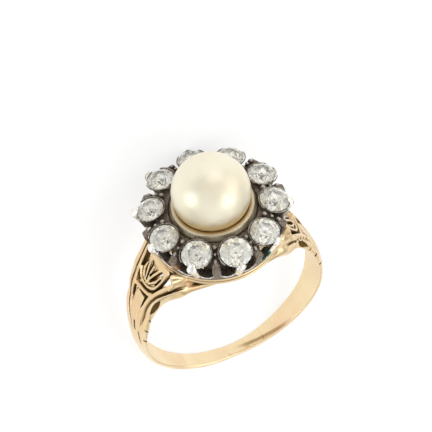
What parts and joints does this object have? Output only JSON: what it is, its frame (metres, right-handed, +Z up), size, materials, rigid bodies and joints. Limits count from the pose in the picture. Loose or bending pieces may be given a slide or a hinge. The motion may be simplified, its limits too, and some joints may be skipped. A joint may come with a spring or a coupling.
{
  "type": "cluster ring",
  "caption": "Finger ring with a large pearl in a cup, a round cluster of old-cut stones in claws, pierced shoulders and a tapered shank, lying on its side.",
  "frame": {"origin": "on the surface that the ring lies on, under the middle of its bounding box", "axes": "+Z up; +Y towards the back of the shank, so the cluster faces -Y and a little up; +X to the right seen from -Y"},
  "size_m": [0.0182, 0.0268, 0.014],
  "materials": {
    "pearl": "cream pearl with a soft lustre, golden at its lower rim",
    "cup_metal": "khaki tarnished metal with an engraved outside",
    "silver": "silver blackened in the hollows and worn bright on the claws",
    "gold": "rosy yellow gold, polished by wear, brown in the carved grooves",
    "diamond": "clear, slightly warm old-cut stone"
  },
  "bodies": {
    "root": {"pearl": "pearl", "pearl_cup": "cup_metal", "silver_setting": "silver", "gold_mount": "gold", "diamond_01": "diamond", "diamond_02": "diamond", "diamond_03": "diamond", "diamond_04": "diamond", "diamond_05": "diamond", "diamond_06": "diamond", "diamond_07": "diamond", "diamond_08": "diamond", "diamond_09": "diamond", "diamond_10": "diamond"}
  },
  "joints": []
}
